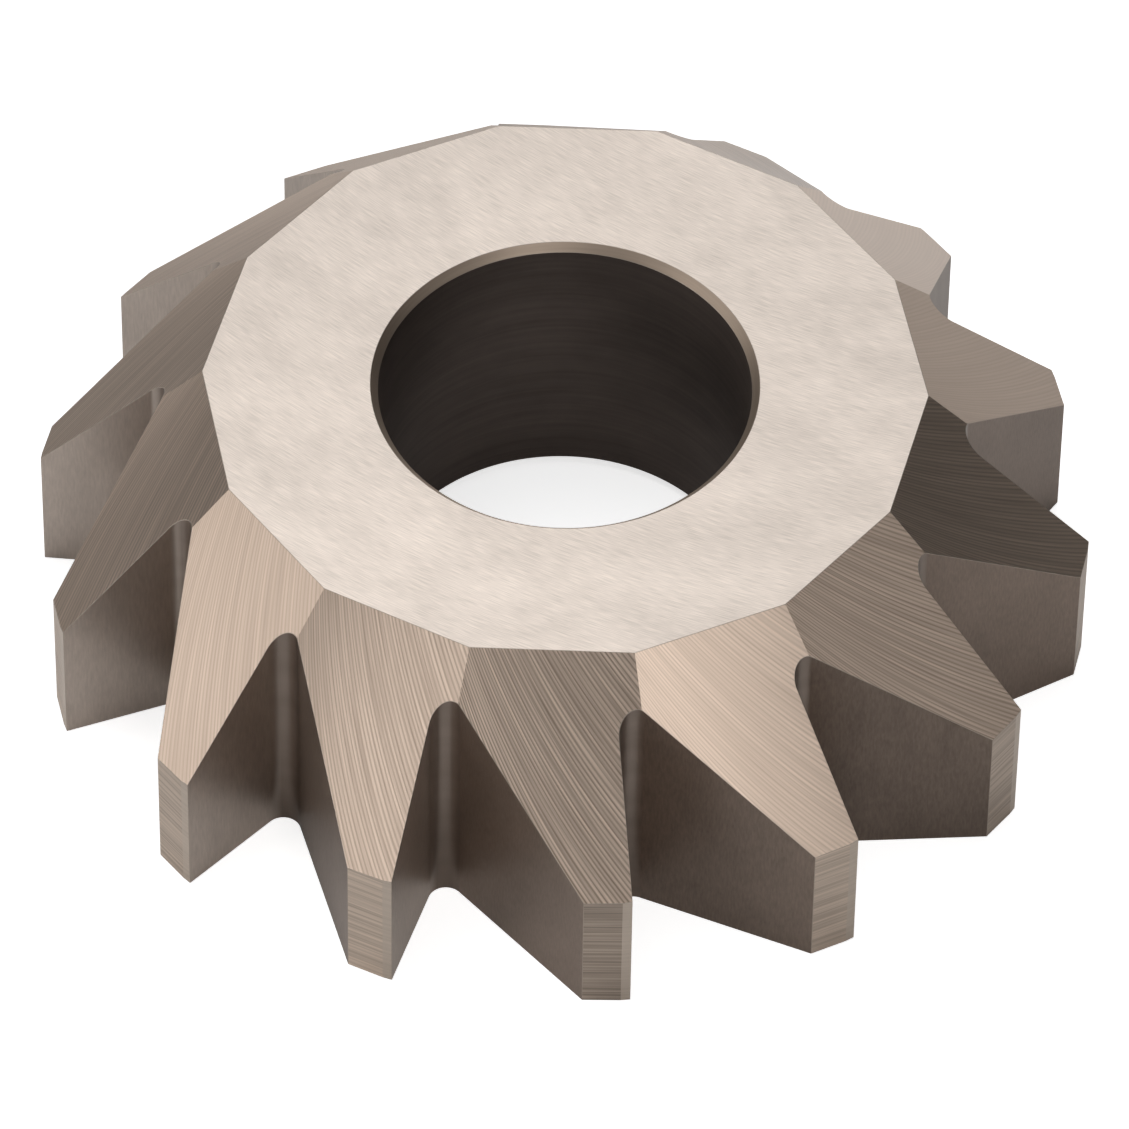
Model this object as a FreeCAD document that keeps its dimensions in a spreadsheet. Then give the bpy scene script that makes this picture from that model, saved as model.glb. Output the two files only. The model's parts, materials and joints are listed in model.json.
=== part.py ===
import FreeCAD, Part
import math
import os

import Sketcher

# Head tube reamer: the one-piece conical hand cutter that trues the 45 degree bearing seat in the
# end of a bicycle's head tube. It is turned as a disc with a plain bore, gashed with V-shaped
# gullets, and then ground with one flat facet behind each cutting edge.
#
# The origin is the centre of the bore on the flat underside, and +Z runs up the bore to the small
# top face. The first tooth's rake face lies in the XZ plane, with its cutting corner towards +X.
# All sizes are in millimetres and degrees.

SIZES = (
    ("CuttingDiameter", 42.0, "across the cutting corners"),
    ("OverallHeight", 12.8, "from the underside to the top face"),
    ("LandHeight", 5.95, "from the underside to a cutting corner"),
    ("SeatAngle", 45.0, "between a cutting edge and the bore's axis"),
    ("ToothCount", 14, "teeth, evenly spaced"),
    ("FacetSetBack", 9.4, "a facet's middle follows its cutting edge by this turn about the axis"),
    ("GulletAngle", 60.0, "between a rake face and the back of the tooth ahead of it"),
    ("RootRadius", 0.7, "rounding at the bottom of a gullet"),
    ("LandWidth", 1.88, "from the rake face to the back corner of the land"),
    ("MarginWidth", 0.35, "round strip beside the cutting corner that steadies the cut"),
    ("ReliefAngle", 7.5, "how steeply the rest of the land falls away behind that strip"),
    ("BoreDiameter", 14.75, "sliding fit on the pilot shaft"),
    ("TopBoreChamfer", 0.3, "at the bore's upper end"),
    ("BaseBoreChamfer", 0.4, "at the bore's lower end"),
    ("CutOverrun", 3.0, "how far every cut runs on past the disc"),
)

# How a sketch names its own origin, its own horizontal axis, and the places on an edge.
ORIGIN = (-1, 1)
ACROSS = -1
START = 1
END = 2
CENTRE = 3


def add_sheet(doc):
    """Writes the driving dimensions into a sheet, one to a row, and returns them by name."""
    sheet = doc.addObject("Spreadsheet::Sheet", "Sizes")
    for row, (alias, value, meaning) in enumerate(SIZES, start=1):
        sheet.set(f"A{row}", alias)
        sheet.set(f"B{row}", str(value))
        sheet.set(f"C{row}", meaning)
        sheet.setAlias(f"B{row}", alias)
    doc.recompute()
    return {alias: value for alias, value, meaning in SIZES}


def add_sketch(body, name, role):
    """Starts a sketch on one of the body's own origin planes."""
    plane = next(item for item in body.Origin.OriginFeatures if item.Role == role)
    sketch = body.newObject("Sketcher::SketchObject", name)
    sketch.AttachmentSupport = [(plane, "")]
    sketch.MapMode = "FlatFace"
    return sketch


def add_line(sketch, start, end, construction=False):
    """Draws a straight edge and returns its number."""
    edge = Part.LineSegment(FreeCAD.Vector(*start, 0), FreeCAD.Vector(*end, 0))
    return sketch.addGeometry(edge, construction)


def add_point(sketch, place):
    """Draws a point that only guides the edges, and returns its number."""
    return sketch.addGeometry(Part.Point(FreeCAD.Vector(*place, 0)), True)


def hold(sketch, kind, *geometry):
    """Adds a constraint that has no dimension, such as Vertical or Coincident."""
    sketch.addConstraint(Sketcher.Constraint(kind, *geometry))


def size_by(sketch, name, formula, kind, *geometry_and_value):
    """Adds a dimension to the sketch under its own name and ties it to the sheet."""
    number = sketch.addConstraint(Sketcher.Constraint(kind, *geometry_and_value))
    sketch.renameConstraint(number, name)
    sketch.setExpression("Constraints." + name, formula)


def add_blank(body, size):
    """Turns the disc, with its bore and the chamfers at both ends of the bore, from half a section."""
    outside = size["CuttingDiameter"] / 2
    bore = size["BoreDiameter"] / 2
    height = size["OverallHeight"]
    top_chamfer = size["TopBoreChamfer"]
    base_chamfer = size["BaseBoreChamfer"]
    corners = (
        (outside, 0),
        (outside, height),
        (bore + top_chamfer, height),
        (bore, height - top_chamfer),
        (bore, base_chamfer),
        (bore + base_chamfer, 0),
    )
    sketch = add_sketch(body, "BlankSection", "XZ_Plane")
    count = len(corners)
    edges = [add_line(sketch, corners[i], corners[(i + 1) % count]) for i in range(count)]
    for i in range(count):
        hold(sketch, "Coincident", edges[i], END, edges[(i + 1) % count], START)
    rim, top, top_bevel, wall, base_bevel, underside = edges
    hold(sketch, "Vertical", rim)
    hold(sketch, "Horizontal", top)
    hold(sketch, "Vertical", wall)
    hold(sketch, "PointOnObject", rim, START, ACROSS)
    hold(sketch, "PointOnObject", underside, START, ACROSS)
    size_by(sketch, "Outside", "Sizes.CuttingDiameter / 2", "DistanceX", *ORIGIN, rim, START, outside)
    size_by(sketch, "Height", "Sizes.OverallHeight", "DistanceY", rim, START, rim, END, height)
    size_by(sketch, "Bore", "Sizes.BoreDiameter / 2", "DistanceX", *ORIGIN, wall, START, bore)
    across_top = (top_bevel, END, top_bevel, START, top_chamfer)
    along_top = (top_bevel, END, top_bevel, START, top_chamfer)
    across_base = (base_bevel, START, base_bevel, END, base_chamfer)
    along_base = (base_bevel, END, base_bevel, START, base_chamfer)
    size_by(sketch, "TopChamferAcross", "Sizes.TopBoreChamfer", "DistanceX", *across_top)
    size_by(sketch, "TopChamferAlong", "Sizes.TopBoreChamfer", "DistanceY", *along_top)
    size_by(sketch, "BaseChamferAcross", "Sizes.BaseBoreChamfer", "DistanceX", *across_base)
    size_by(sketch, "BaseChamferAlong", "Sizes.BaseBoreChamfer", "DistanceY", *along_base)

    blank = body.newObject("PartDesign::Revolution", "Blank")
    blank.Profile = sketch
    blank.ReferenceAxis = (sketch, ["V_Axis"])
    blank.Angle = 360
    return blank


def add_facet_cut(body, size):
    """Grinds the flat facet behind the first cutting edge.

    The section lies in the plane through the bore's axis that is turned back from the rake face to
    the facet's middle, where the facet is seen edge-on. A facet is level square to that plane, so
    both ends of the cutting edge show there at their own height, a little nearer to the axis.
    """
    nearer = math.cos(math.radians(size["FacetSetBack"]))
    outside = size["CuttingDiameter"] / 2
    height = size["OverallHeight"]
    land = size["LandHeight"]
    overrun = size["CutOverrun"]
    top_radius = outside - (height - land) * math.tan(math.radians(size["SeatAngle"]))
    upper = (top_radius * nearer, height)
    lower = (outside * nearer, land)
    slope = (upper[1] - lower[1]) / (lower[0] - upper[0])
    tip = (upper[0] - overrun / slope, height + overrun)
    corner = (outside + overrun, height + overrun)
    foot = (outside + overrun, lower[1] - (outside + overrun - lower[0]) * slope)

    sketch = add_sketch(body, "FacetSection", "XZ_Plane")
    about_the_bore = FreeCAD.Rotation(FreeCAD.Vector(0, -1, 0), size["FacetSetBack"])
    sketch.AttachmentOffset = FreeCAD.Placement(FreeCAD.Vector(), about_the_bore)
    sketch.setExpression("AttachmentOffset.Rotation.Angle", "Sizes.FacetSetBack")
    facet = add_line(sketch, foot, tip)
    above = add_line(sketch, tip, corner)
    beyond = add_line(sketch, corner, foot)
    edge_top = add_point(sketch, upper)
    cutting_corner = add_point(sketch, lower)
    hold(sketch, "Coincident", facet, END, above, START)
    hold(sketch, "Coincident", above, END, beyond, START)
    hold(sketch, "Coincident", beyond, END, facet, START)
    hold(sketch, "Horizontal", above)
    hold(sketch, "Vertical", beyond)
    hold(sketch, "PointOnObject", edge_top, START, facet)
    hold(sketch, "PointOnObject", cutting_corner, START, facet)
    corner_run = "Sizes.CuttingDiameter / 2 * cos(Sizes.FacetSetBack * 1deg)"
    edge_run = "(Sizes.OverallHeight - Sizes.LandHeight) * tan(Sizes.SeatAngle * 1deg)"
    top_run = f"(Sizes.CuttingDiameter / 2 - {edge_run}) * cos(Sizes.FacetSetBack * 1deg)"
    size_by(sketch, "EdgeTopOut", top_run, "DistanceX", *ORIGIN, edge_top, START, upper[0])
    size_by(sketch, "EdgeTopUp", "Sizes.OverallHeight", "DistanceY", *ORIGIN, edge_top, START, upper[1])
    size_by(sketch, "CornerOut", corner_run, "DistanceX", *ORIGIN, cutting_corner, START, lower[0])
    size_by(sketch, "CornerUp", "Sizes.LandHeight", "DistanceY", *ORIGIN, cutting_corner, START, lower[1])
    past_rim = "Sizes.CuttingDiameter / 2 + Sizes.CutOverrun"
    past_top = "Sizes.OverallHeight + Sizes.CutOverrun"
    size_by(sketch, "PastRim", past_rim, "DistanceX", *ORIGIN, beyond, START, corner[0])
    size_by(sketch, "PastTop", past_top, "DistanceY", *ORIGIN, beyond, START, corner[1])
    return add_through_cut(body, sketch, "FacetCut")


def add_tooth_space(body, size):
    """Gashes the gullet ahead of the first rake face, and relieves the land of the next tooth.

    Going round the profile: out along the radial rake face, across outside the disc, in along the
    next rake face's own line, back down the relieved land, in along the back of that tooth, and
    round the root.
    """
    outside = size["CuttingDiameter"] / 2
    past_rim = outside + size["CutOverrun"]
    pitch = math.radians(360 / size["ToothCount"])
    gullet = math.radians(size["GulletAngle"])
    relief = math.radians(size["ReliefAngle"])
    margin = size["MarginWidth"]
    land = size["LandWidth"]
    root = size["RootRadius"]

    def behind_next_edge(out, behind):
        """The place that lies this far out along the next rake face and this far behind it."""
        return (
            out * math.cos(pitch) + behind * math.sin(pitch),
            out * math.sin(pitch) - behind * math.cos(pitch),
        )

    heel_out = math.sqrt(outside**2 - margin**2)
    heel = behind_next_edge(heel_out, margin)
    land_front = behind_next_edge(heel_out + margin * math.tan(relief), 0)
    back_corner = behind_next_edge(heel_out - (land - margin) * math.tan(relief), land)
    apex_out = back_corner[0] - back_corner[1] / math.tan(gullet)
    root_run = root / math.tan(gullet / 2)
    root_front = (apex_out + root_run, 0)
    root_back = (apex_out + root_run * math.cos(gullet), root_run * math.sin(gullet))

    sketch = add_sketch(body, "ToothSpaceOutline", "XY_Plane")
    rake = add_line(sketch, root_front, (past_rim, 0))
    across = add_line(sketch, (past_rim, 0), behind_next_edge(past_rim, 0))
    next_front = add_line(sketch, behind_next_edge(past_rim, 0), land_front)
    relieved = add_line(sketch, land_front, back_corner)
    back = add_line(sketch, back_corner, root_back)
    centre = FreeCAD.Vector(root_front[0], root, 0)
    circle = Part.Circle(centre, FreeCAD.Vector(0, 0, 1), root)
    quarter = math.pi / 2
    fillet = sketch.addGeometry(Part.ArcOfCircle(circle, gullet + quarter, 3 * quarter), False)
    disc = Part.Circle(FreeCAD.Vector(), FreeCAD.Vector(0, 0, 1), outside)
    rim = sketch.addGeometry(disc, True)
    next_rake = add_line(sketch, (0, 0), behind_next_edge(past_rim, 0), True)
    margin_heel = add_point(sketch, heel)

    for before, after in ((rake, across), (across, next_front), (next_front, relieved), (relieved, back)):
        hold(sketch, "Coincident", before, END, after, START)
    hold(sketch, "Tangent", back, END, fillet, START)
    hold(sketch, "Tangent", fillet, END, rake, START)
    hold(sketch, "PointOnObject", rake, START, ACROSS)
    hold(sketch, "PointOnObject", rake, END, ACROSS)
    hold(sketch, "Coincident", rim, CENTRE, *ORIGIN)
    hold(sketch, "Coincident", next_rake, START, *ORIGIN)
    hold(sketch, "Coincident", next_rake, END, next_front, START)
    hold(sketch, "PointOnObject", next_front, END, next_rake)
    hold(sketch, "PointOnObject", margin_heel, START, rim)
    hold(sketch, "PointOnObject", margin_heel, START, relieved)
    past_formula = "Sizes.CuttingDiameter / 2 + Sizes.CutOverrun"
    size_by(sketch, "PastRim", past_formula, "DistanceX", *ORIGIN, rake, END, past_rim)
    size_by(sketch, "NextPastRim", past_formula, "Distance", next_rake, past_rim)
    size_by(sketch, "Pitch", "360 / Sizes.ToothCount", "Angle", ACROSS, START, next_rake, START, pitch)
    size_by(sketch, "Disc", "Sizes.CuttingDiameter / 2", "Radius", rim, outside)
    size_by(sketch, "Margin", "Sizes.MarginWidth", "Distance", margin_heel, START, next_rake, margin)
    size_by(sketch, "Land", "Sizes.LandWidth", "Distance", relieved, END, next_rake, land)
    land_turn = math.pi / 2 + relief
    size_by(sketch, "Relief", "90 + Sizes.ReliefAngle", "Angle", relieved, START, next_front, END, land_turn)
    size_by(sketch, "Gullet", "Sizes.GulletAngle", "Angle", rake, START, back, END, gullet)
    size_by(sketch, "Root", "Sizes.RootRadius", "Radius", fillet, root)
    return add_through_cut(body, sketch, "ToothSpaceCut")


def add_through_cut(body, sketch, name):
    """Cuts the sketch's outline right through the body, to both sides of the sketch."""
    cut = body.newObject("PartDesign::Pocket", name)
    cut.Profile = sketch
    cut.SideType = "Symmetric"
    cut.Type = "ThroughAll"
    return cut


def add_teeth(body, cuts):
    """Repeats the cuts of one tooth round the bore."""
    axis = next(item for item in body.Origin.OriginFeatures if item.Role == "Z_Axis")
    teeth = body.newObject("PartDesign::PolarPattern", "Teeth")
    teeth.Originals = cuts
    teeth.Axis = (axis, [""])
    teeth.Angle = 360
    teeth.setExpression("Occurrences", "Sizes.ToothCount")
    body.Tip = teeth
    return teeth


def add_reamer_cutter(doc, size):
    """The whole cutter, which is one piece of hardened steel."""
    body = doc.addObject("PartDesign::Body", "ReamerCutter")
    body.Label = "reamer_cutter"
    body.Placement = FreeCAD.Placement(FreeCAD.Vector(0, 0, 0), FreeCAD.Rotation())
    add_blank(body, size)
    cuts = [add_facet_cut(body, size), add_tooth_space(body, size)]
    doc.recompute()
    add_teeth(body, cuts)
    return body


def check(doc, pieces):
    """Stops the build if a step of it failed or a piece isn't one sound solid."""
    failed = [item.Label for item in doc.Objects if {"Invalid", "Error"} & set(item.State)]
    loose = [item.Label for item in doc.Objects if item.isDerivedFrom("Sketcher::SketchObject")
             and not item.FullyConstrained]
    unsound = [piece.Label for piece in pieces
               if piece.Shape.isNull() or not piece.Shape.isValid() or len(piece.Shape.Solids) != 1]
    if failed or loose or unsound:
        raise RuntimeError(f"failed {failed}, not fully constrained {loose}, unsound {unsound}")


def main():
    doc = FreeCAD.newDocument("HeadTubeReamer")
    size = add_sheet(doc)
    pieces = [add_reamer_cutter(doc, size)]
    doc.recompute()
    check(doc, pieces)
    os.makedirs("parts", exist_ok=True)
    for piece in pieces:
        piece.Shape.exportStep(os.path.join("parts", piece.Label + ".step"))
        print(piece.Label, "volume", round(piece.Shape.Volume, 2), "mm3, faces", len(piece.Shape.Faces))


main()
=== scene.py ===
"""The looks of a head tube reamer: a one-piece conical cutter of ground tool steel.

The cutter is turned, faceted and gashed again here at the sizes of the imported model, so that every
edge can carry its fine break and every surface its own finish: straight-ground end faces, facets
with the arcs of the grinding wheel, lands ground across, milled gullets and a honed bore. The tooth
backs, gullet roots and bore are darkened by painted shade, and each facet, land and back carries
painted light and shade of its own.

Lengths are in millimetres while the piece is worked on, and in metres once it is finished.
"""

import json
import logging
import math
from abc import ABC, abstractmethod
from collections.abc import Sequence
from dataclasses import dataclass, field, replace
from enum import Enum

import bmesh
import bpy
from mathutils import Matrix, Vector


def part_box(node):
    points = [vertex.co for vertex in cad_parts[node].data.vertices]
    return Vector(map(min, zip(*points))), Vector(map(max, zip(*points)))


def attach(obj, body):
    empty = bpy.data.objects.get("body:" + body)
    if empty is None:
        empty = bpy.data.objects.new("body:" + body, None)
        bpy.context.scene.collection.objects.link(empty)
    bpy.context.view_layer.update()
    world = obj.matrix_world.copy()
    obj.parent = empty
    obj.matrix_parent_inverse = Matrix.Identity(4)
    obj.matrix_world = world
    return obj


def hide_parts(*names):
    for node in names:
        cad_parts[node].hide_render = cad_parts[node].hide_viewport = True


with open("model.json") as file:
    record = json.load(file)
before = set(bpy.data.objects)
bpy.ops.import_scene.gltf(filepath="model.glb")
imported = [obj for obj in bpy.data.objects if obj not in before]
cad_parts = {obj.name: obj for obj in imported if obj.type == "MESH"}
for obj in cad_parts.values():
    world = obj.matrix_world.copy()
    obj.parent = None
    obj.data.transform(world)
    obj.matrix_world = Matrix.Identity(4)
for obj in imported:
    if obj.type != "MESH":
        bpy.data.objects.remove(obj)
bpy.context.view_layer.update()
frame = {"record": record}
MM = 0.001
UP = Vector((0, 0, 1))
WHITE = (1.0, 1.0, 1.0, 1.0)
TEETH = 14

# The piece's map of its tool marks, and the numbers that are kept on each of its faces.
MARKS_MAP = "marks"
TOOTH_NUMBER = "tooth"
MARKS_SHARE = "marks_share"
# Each face's painted light and shade: a share by which its colour is painted lighter or darker.
PAINTED_LIGHT_TONE = "painted_light_tone"
ROOT_TURN = "root_turn"

# How the noise patterns behave, and how far one tooth's lies from the next one's.
NOISE_MIDDLE = 0.5
NOISE_RANGE = (0.3, 0.7)
STREAK_ROUGHNESS = 0.6
TOOTH_STEP = 3.7

Socket = bpy.types.NodeSocket

# The colour sockets of a Mix node: two inputs and the output.
MIX_FIRST, MIX_SECOND, MIX_RESULT = 6, 7, 2

log = logging.getLogger("reamer")


class Surface(Enum):
    """The kinds of surface on the cutter. Each has a finish of its own."""

    TOP = "top_face"
    UNDERSIDE = "underside"
    FACET = "facet"
    LAND = "relieved_land"
    MARGIN = "margin"
    RAKE = "rake_face"
    BACK = "tooth_back"
    ROOT = "gullet_root"
    BORE = "bore_wall"
    CHAMFER = "bore_chamfer"
    EDGE = "broken_edge"


def bore_radius_of(record: dict) -> float:
    """Reads the bore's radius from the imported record.

    Args:
        record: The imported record.

    Returns:
        The radius in millimetres.
    """
    bore = next(mount for mount in record["mounts"] if mount["name"] == "bore")
    return float(bore["dims"]["r_mm"])


def deselect_all() -> None:
    """Leaves edit mode and clears the selection, which the loaded frame holds at first."""
    if bpy.context.object and bpy.context.object.mode != "OBJECT":
        bpy.ops.object.mode_set(mode="OBJECT")
    bpy.ops.object.select_all(action="DESELECT")


def take_up(thing: bpy.types.Object) -> None:
    """Makes one object the only one selected, and the active one.

    Args:
        thing: The object.
    """
    deselect_all()
    thing.select_set(True)
    bpy.context.view_layer.objects.active = thing


def pick_corner(thing: bpy.types.Object, corner: Vector, reach: float) -> None:
    """Selects the vertices of the object in edit mode that lie at a corner.

    Args:
        thing: The object, in edit mode.
        corner: The corner's place.
        reach: How near to it a vertex has to lie.
    """
    bpy.ops.mesh.select_all(action="DESELECT")
    mesh = bmesh.from_edit_mesh(thing.data)
    for vertex in mesh.verts:
        vertex.select_set((vertex.co - corner).length < reach)
    mesh.select_flush(True)
    bmesh.update_edit_mesh(thing.data)


def apply_modifier(thing: bpy.types.Object, name: str) -> None:
    """Applies one modifier of the object."""
    take_up(thing)
    bpy.ops.object.modifier_apply(modifier=name)


class Graph:
    """Adds nodes to a tree, one line to a node."""

    def __init__(self, tree: bpy.types.NodeTree) -> None:
        """Works in this tree of nodes."""
        self.nodes = tree.nodes
        self.links = tree.links

    def put(self, socket: Socket, value: object) -> None:
        """Links an output to an input, or sets the input's own value.

        Args:
            socket: The input.
            value: The other node's output, or a value of the input's own kind.
        """
        if isinstance(value, Socket):
            self.links.new(value, socket)
        else:
            socket.default_value = value

    def math(self, operation: str, *values: object) -> Socket:
        """Adds a Math node.

        Args:
            operation: The node's operation.
            values: Its inputs in order, outputs of other nodes or numbers.

        Returns:
            The node's result.
        """
        node = self.nodes.new("ShaderNodeMath")
        node.operation = operation
        for socket, value in zip(node.inputs, values):
            self.put(socket, value)
        return node.outputs[0]

    def place(self, turn: float = 0.0) -> tuple[Socket, Socket]:
        """Reads the piece's own marks map, in millimetres.

        Args:
            turn: Turns the map by this angle first.

        Returns:
            The coordinate across the tool marks and the one along them, before any turn.
        """
        source = self.nodes.new("ShaderNodeUVMap")
        source.uv_map = MARKS_MAP
        turned = self.nodes.new("ShaderNodeMapping")
        turned.inputs["Rotation"].default_value = (0, 0, turn)
        self.links.new(source.outputs[0], turned.inputs["Vector"])
        split = self.nodes.new("ShaderNodeSeparateXYZ")
        self.links.new(turned.outputs[0], split.inputs[0])
        return split.outputs[0], split.outputs[1]

    def face_number(self, name: str) -> Socket:
        """Reads a number that is kept on each face.

        Args:
            name: The name it is kept under.

        Returns:
            The number.
        """
        node = self.nodes.new("ShaderNodeAttribute")
        node.attribute_name = name
        return node.outputs["Fac"]

    def tooth_shift(self) -> Socket:
        """The shift that gives each tooth a noise pattern of its own."""
        return self.math("MULTIPLY", self.face_number(TOOTH_NUMBER), TOOTH_STEP)

    def streaks(
        self, across: object, along: object, scale: tuple[float, float], tooth: object,
        detail: float,
    ) -> Socket:
        """Adds a noise pattern that is drawn out one way.

        Args:
            across: The coordinate across the streaks.
            along: The coordinate along the streaks.
            scale: How closely the pattern lies in those two directions.
            tooth: A third coordinate, which tells one tooth's pattern from the next.
            detail: How many finer layers it has.

        Returns:
            The pattern, from about 0 to 1.
        """
        closely = self.math("MULTIPLY", across, scale[0])
        loosely = self.math("MULTIPLY", along, scale[1])
        join = self.nodes.new("ShaderNodeCombineXYZ")
        for socket, value in zip(join.inputs, (closely, loosely, tooth)):
            self.put(socket, value)
        node = self.nodes.new("ShaderNodeTexNoise")
        node.inputs["Scale"].default_value = 1.0
        node.inputs["Detail"].default_value = detail
        node.inputs["Roughness"].default_value = STREAK_ROUGHNESS
        self.links.new(join.outputs[0], node.inputs["Vector"])
        return node.outputs["Fac"]

    def spread(
        self, value: object, low: float, high: float, to_low: float, to_high: float
    ) -> Socket:
        """Stretches a range of values over another range, and clamps what lies outside.

        Args:
            value: The value.
            low: The lower end of its range.
            high: The upper end of its range.
            to_low: What the lower end becomes.
            to_high: What the upper end becomes.

        Returns:
            The stretched value.
        """
        node = self.nodes.new("ShaderNodeMapRange")
        ends = {"From Min": low, "From Max": high, "To Min": to_low, "To Max": to_high}
        for name, number in ends.items():
            node.inputs[name].default_value = number
        self.put(node.inputs["Value"], value)
        return node.outputs[0]

    def blend(self, share: object, first: Sequence[float], second: Sequence[float]) -> Socket:
        """Blends two colours.

        Args:
            share: How much of the second colour shows, from 0 to 1.
            first: The first colour.
            second: The second colour.

        Returns:
            The blended colour.
        """
        node = self.nodes.new("ShaderNodeMix")
        node.data_type = "RGBA"
        self.put(node.inputs[0], share)
        node.inputs[MIX_FIRST].default_value = (*first, 1.0)
        node.inputs[MIX_SECOND].default_value = (*second, 1.0)
        return node.outputs[MIX_RESULT]


class Paint(Graph):
    """A material whose surface is one Principled shader."""

    def __init__(self, name: str) -> None:
        """Starts the material.

        Args:
            name: The material's name.
        """
        self.material = bpy.data.materials.new(name)
        self.material.use_nodes = True
        super().__init__(self.material.node_tree)
        self.shader = self.nodes["Principled BSDF"]

    def raise_surface(self, height: object, depth: float) -> None:
        """Lets a pattern stand out from the surface.

        Args:
            height: The pattern.
            depth: How far a value of 1 stands above 0, in metres.
        """
        node = self.nodes.new("ShaderNodeBump")
        node.inputs["Strength"].default_value = 1.0
        node.inputs["Distance"].default_value = depth
        self.put(node.inputs["Height"], height)
        self.links.new(node.outputs[0], self.shader.inputs["Normal"])

    def stretch_gloss(self, amount: float) -> None:
        """Stretches highlights across the tool marks.

        Args:
            amount: How much, from 0 to 1.
        """
        tangent = self.nodes.new("ShaderNodeTangent")
        tangent.direction_type = "UV_MAP"
        tangent.uv_map = MARKS_MAP
        self.shader.inputs["Anisotropic"].default_value = amount
        self.links.new(tangent.outputs[0], self.shader.inputs["Tangent"])

    def turn_gloss(self, angle: object) -> None:
        """Turns the stretched highlights, so that they follow marks that bend.

        Args:
            angle: The turn anticlockwise about the surface's normal, in radians.
        """
        full_turns = self.math("DIVIDE", angle, math.tau)
        self.put(self.shader.inputs["Anisotropic Rotation"], full_turns)


@dataclass(frozen=True)
class SteelFinish(ABC):
    """What every finish of the bare steel has.

    Attributes:
        name: The material's name.
        colour: Its colour, before the marks lighten and darken it.
        roughness: How much it blurs what it mirrors.
        gloss_stretch: How far its highlights are stretched across the marks, from 0 to 1.
    """

    name: str
    colour: tuple[float, float, float]
    roughness: float
    gloss_stretch: float = 0.0

    def start(self) -> Paint:
        """Starts the material with the values that are the same all over it.

        Returns:
            The material, with bare metal for its surface.
        """
        paint = Paint(self.name)
        paint.shader.inputs["Metallic"].default_value = 1.0
        paint.shader.inputs["Roughness"].default_value = self.roughness
        paint.shader.inputs["Base Color"].default_value = (*self.colour, 1.0)
        if self.gloss_stretch:
            paint.stretch_gloss(self.gloss_stretch)
        return paint

    def shaded(self, share: float) -> tuple[float, float, float]:
        """The finish's colour, darkened or lightened to this share of it."""
        return tuple(channel * share for channel in self.colour)

    @abstractmethod
    def make(self) -> bpy.types.Material:
        """Makes the finish, with its own marks."""


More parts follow.
